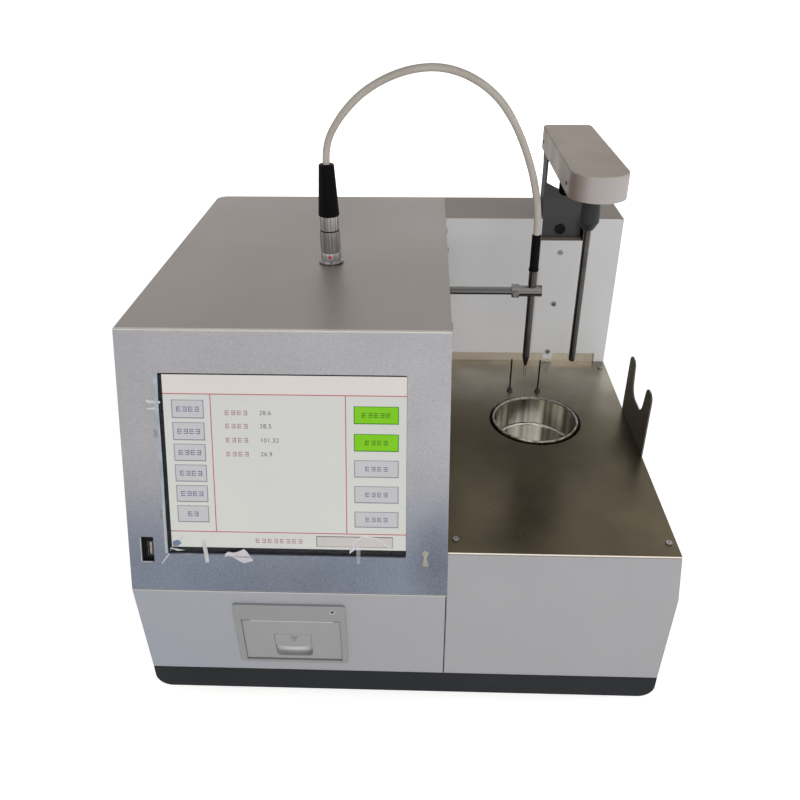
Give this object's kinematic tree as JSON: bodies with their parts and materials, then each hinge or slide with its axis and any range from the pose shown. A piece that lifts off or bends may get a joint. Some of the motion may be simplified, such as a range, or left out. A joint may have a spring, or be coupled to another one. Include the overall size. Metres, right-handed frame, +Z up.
{
  "type": "open-cup flash point tester",
  "caption": "Benchtop flash point tester: leaning touch screen and slip printer beside a steel deck with heated open cup, swinging hot-wire igniter and an arm that lowers a thermometer.",
  "frame": {"origin": "on the bench, under the middle of the instrument's footprint, with the tongs fork counted and the cable left out", "axes": "+X to the right as the user sees it, the front faces -Y, +Z up"},
  "size_m": [0.495, 0.4655, 0.56],
  "materials": {
    "cover_paint": "satin warm grey",
    "bezel_paint": "hammered silver",
    "panel_paint": "satin silver",
    "column_paint": "satin light grey",
    "pan_paint": "textured dark grey",
    "deck_steel": "brown polished",
    "cup_steel": "spun and polished",
    "bright_steel": "ground",
    "screw_steel": "plated",
    "chrome": "polished",
    "zinc_sheet": "zinc plated",
    "cast_block": "heat darkened",
    "band_mica": "dull",
    "ceramic_fibre": "white fibre",
    "ceramic": "glazed dark",
    "bracket_paint": "satin slate grey",
    "arm_paint": "satin warm silver",
    "collet_grey": "satin",
    "black_rubber": "matt",
    "black_plastic": "matt",
    "printer_plastic": "satin grey",
    "cable_white": "satin",
    "fork_paint": "satin dark grey",
    "glass": "clear",
    "display": "lit",
    "board_green": "lacquered",
    "paper": "matt",
    "lamp": "clear dark",
    "aluminium": "machined",
    "motor_black": "matt"
  },
  "bodies": {
    "housing": {"base_pan": "pan_paint", "rubber_feet": "black_rubber", "control_cover": "cover_paint", "work_cover": "panel_paint", "column_cover": "column_paint", "strip_cover": "column_paint", "rear_panel": "column_paint", "screen_bezel": "bezel_paint", "touch_glass": "glass", "display_module": "display", "usb_socket": "zinc_sheet", "lower_panel": "panel_paint", "deck_plate": "deck_steel", "heater_block": "cast_block", "heater_band": "band_mica", "insulation_ring": "ceramic_fibre", "heater_stand": "zinc_sheet", "electrode_pins": "bright_steel", "pin_bushes": "ceramic", "lift_frame": "zinc_sheet", "lift_motor": "motor_black", "guide_rods": "chrome", "swing_motor": "motor_black", "wall_bush": "black_plastic", "panel_socket": "chrome", "cable_plug": "chrome", "plug_boot": "black_rubber", "sensor_cable": "cable_white", "tongs_fork": "fork_paint", "printer_bezel": "printer_plastic", "status_lamp": "lamp", "printer_tray": "printer_plastic", "mains_inlet": "black_plastic", "switch_frame": "black_plastic", "cooling_fan": "black_plastic", "power_supply": "zinc_sheet", "control_board": "board_green", "panel_screws": "screw_steel"},
    "head": {"lift_bracket": "bracket_paint", "carriage_block": "aluminium", "arm_housing": "arm_paint", "arm_plate": "bracket_paint", "head_screws": "black_plastic", "sensor_conduit": "black_rubber", "rod_collet": "collet_grey"},
    "thermometer": {"thermometer_rod": "bright_steel"},
    "screw": {"lead_screw": "bright_steel"},
    "igniter": {"igniter_arm": "chrome", "rod_clamp": "chrome", "clamp_screw": "chrome", "igniter_probe": "bright_steel", "probe_sleeve": "black_rubber", "igniter_wire": "bright_steel"},
    "cup": {"test_cup": "cup_steel"},
    "door": {"printer_door": "printer_plastic"},
    "flap": {"printer_latch": "printer_plastic"},
    "platen": {"platen_roller": "black_rubber"},
    "roll": {"paper_roll": "paper"},
    "rocker": {"power_rocker": "black_plastic"},
    "rotor": {"fan_rotor": "black_plastic"}
  },
  "joints": [
    {"name": "head_lift", "type": "slide", "parent": "housing", "child": "head", "axis": [0, 0, 1], "range_m": [-0.066, 0]},
    {"name": "lead_screw_turn", "type": "hinge", "parent": "housing", "child": "screw", "pos_m": [0.17535, 0.20344, 0.106], "axis": [0, 0, 1], "range_deg": [0, 4772]},
    {"name": "thermometer_slide", "type": "slide", "parent": "head", "child": "thermometer", "axis": [0, 0, 1], "range_m": [-0.038, 0]},
    {"name": "igniter_swing", "type": "hinge", "parent": "housing", "child": "igniter", "pos_m": [0.03845, -0.00455, 0.34702], "axis": [1, 0, 0], "range_deg": [-30, 30], "deforming": ["sensor_cable"]},
    {"name": "cup_lift", "type": "slide", "parent": "housing", "child": "cup", "axis": [0, 0, 1], "range_m": [0, 0.05]},
    {"name": "printer_door", "type": "hinge", "parent": "housing", "child": "door", "pos_m": [-0.15135, -0.22673, 0.05869], "axis": [1, 0, 0], "range_deg": [0, 85]},
    {"name": "door_flap", "type": "hinge", "parent": "door", "child": "flap", "pos_m": [-0.12255, -0.22827, 0.09146], "axis": [-1, 0, 0], "range_deg": [0, 35], "stiffness_Nm_per_rad": 0.05},
    {"name": "platen_spin", "type": "hinge", "parent": "door", "child": "platen", "pos_m": [-0.13465, -0.22004, 0.1033], "axis": [1, 0, 0], "continuous": true},
    {"name": "paper_roll_spin", "type": "hinge", "parent": "housing", "child": "roll", "pos_m": [-0.13415, -0.19361, 0.08086], "axis": [1, 0, 0], "continuous": true},
    {"name": "mains_switch", "type": "hinge", "parent": "housing", "child": "rocker", "pos_m": [-0.12355, 0.22444, 0.084], "axis": [1, 0, 0], "range_deg": [0, 18]},
    {"name": "fan_spin", "type": "hinge", "parent": "housing", "child": "rotor", "pos_m": [-0.03755, 0.22944, 0.23], "axis": [0, 1, 0], "continuous": true}
  ],
  "couplings": [
    {"joint": "lead_screw_turn", "follows": "head_lift", "rad_per_m": -1256.6}
  ]
}
